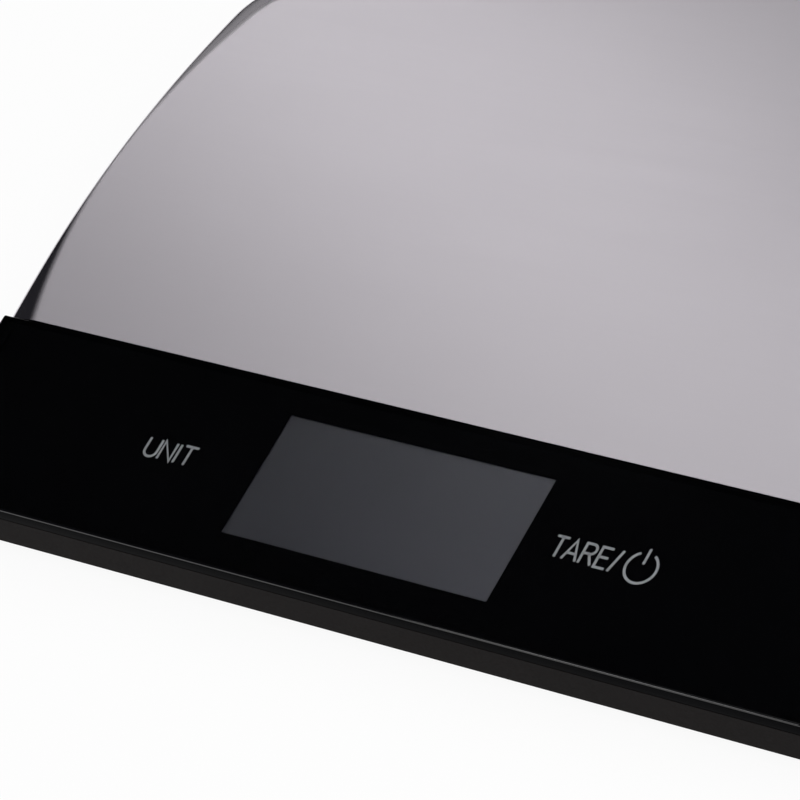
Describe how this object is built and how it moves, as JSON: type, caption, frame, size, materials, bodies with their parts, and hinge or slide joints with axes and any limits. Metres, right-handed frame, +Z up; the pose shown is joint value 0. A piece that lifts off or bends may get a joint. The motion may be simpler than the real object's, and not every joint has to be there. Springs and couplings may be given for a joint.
{
  "type": "kitchen scale",
  "caption": "Slim battery kitchen scale: formed steel weighing plate and black glass control strip with display on a low moulded body with sprung load-sensing feet and a hinged battery door.",
  "frame": {"origin": "on the table under the middle of the scale's bounding box, at the foot pads' undersides", "axes": "+X to the user's right along the front edge, +Y from the glass strip to the back, +Z up"},
  "size_m": [0.2, 0.145, 0.017],
  "materials": {
    "brushed_plate": "stainless steel, fine satin brushing",
    "panel_glass": "clear hardened glass, bright polished edges",
    "panel_print": "black printed film behind the glass",
    "body_black": "black moulded plastic, fine texture",
    "rubber_black": "black rubber, matt",
    "display_grey": "dark grey liquid crystal display glass",
    "guide_white": "milky light guide",
    "board_green": "green solder mask",
    "bright_steel": "bright plated steel",
    "contact_brass": "bare brass strip",
    "epoxy_black": "black epoxy drop",
    "silicone_white": "white silicone sealant",
    "cell_steel": "stamped spring steel",
    "lead_red": "red insulation",
    "lead_black": "black insulation",
    "lead_grey": "grey insulation"
  },
  "bodies": {
    "scale_body": {"steel_plate": "brushed_plate", "glass_panel": "panel_glass", "print_film": "panel_print", "upper_housing": "body_black", "bottom_cover": "body_black", "lcd_panel": "display_grey", "lcd_frame": "body_black", "light_guide": "guide_white", "zebra_strip": "rubber_black", "main_board": "board_green", "controller_chip": "epoxy_black", "unit_key_spring": "bright_steel", "tare_key_spring": "bright_steel", "battery": "bright_steel", "battery_contact_positive": "contact_brass", "battery_contact_negative": "contact_brass", "load_cell_front_left": "cell_steel", "strain_gauge_front_left": "silicone_white", "load_cell_front_right": "cell_steel", "strain_gauge_front_right": "silicone_white", "load_cell_rear_left": "cell_steel", "strain_gauge_rear_left": "silicone_white", "load_cell_rear_right": "cell_steel", "strain_gauge_rear_right": "silicone_white", "cell_lead_front_left": "lead_grey", "cell_lead_front_right": "lead_grey", "cell_lead_rear_left": "lead_grey", "cell_lead_rear_right": "lead_grey", "battery_lead_positive": "lead_red", "battery_lead_negative": "lead_black", "cover_screw_1": "bright_steel", "cover_screw_2": "bright_steel", "cover_screw_3": "bright_steel", "cover_screw_4": "bright_steel", "cover_screw_5": "bright_steel", "cover_screw_6": "bright_steel", "cover_screw_7": "bright_steel", "cover_screw_8": "bright_steel", "board_screw_left": "bright_steel", "board_screw_right": "bright_steel"},
    "foot_front_left": {"foot_cup_front_left": "body_black", "foot_pad_front_left": "rubber_black"},
    "foot_front_right": {"foot_cup_front_right": "body_black", "foot_pad_front_right": "rubber_black"},
    "foot_rear_left": {"foot_cup_rear_left": "body_black", "foot_pad_rear_left": "rubber_black"},
    "foot_rear_right": {"foot_cup_rear_right": "body_black", "foot_pad_rear_right": "rubber_black"},
    "battery_door": {"battery_door": "body_black"}
  },
  "joints": [
    {"name": "foot_press_front_left", "type": "slide", "parent": "scale_body", "child": "foot_front_left", "axis": [0, 0, 1], "range_m": [0, 0.0003], "stiffness_N_per_m": 400},
    {"name": "foot_press_front_right", "type": "slide", "parent": "scale_body", "child": "foot_front_right", "axis": [0, 0, 1], "range_m": [0, 0.0003], "stiffness_N_per_m": 400},
    {"name": "foot_press_rear_left", "type": "slide", "parent": "scale_body", "child": "foot_rear_left", "axis": [0, 0, 1], "range_m": [0, 0.0003], "stiffness_N_per_m": 400},
    {"name": "foot_press_rear_right", "type": "slide", "parent": "scale_body", "child": "foot_rear_right", "axis": [0, 0, 1], "range_m": [0, 0.0003], "stiffness_N_per_m": 400},
    {"name": "battery_door_hinge", "type": "hinge", "parent": "scale_body", "child": "battery_door", "pos_m": [0, 0.0324, 0.0052], "axis": [1, 0, 0], "range_deg": [0, 100]}
  ]
}
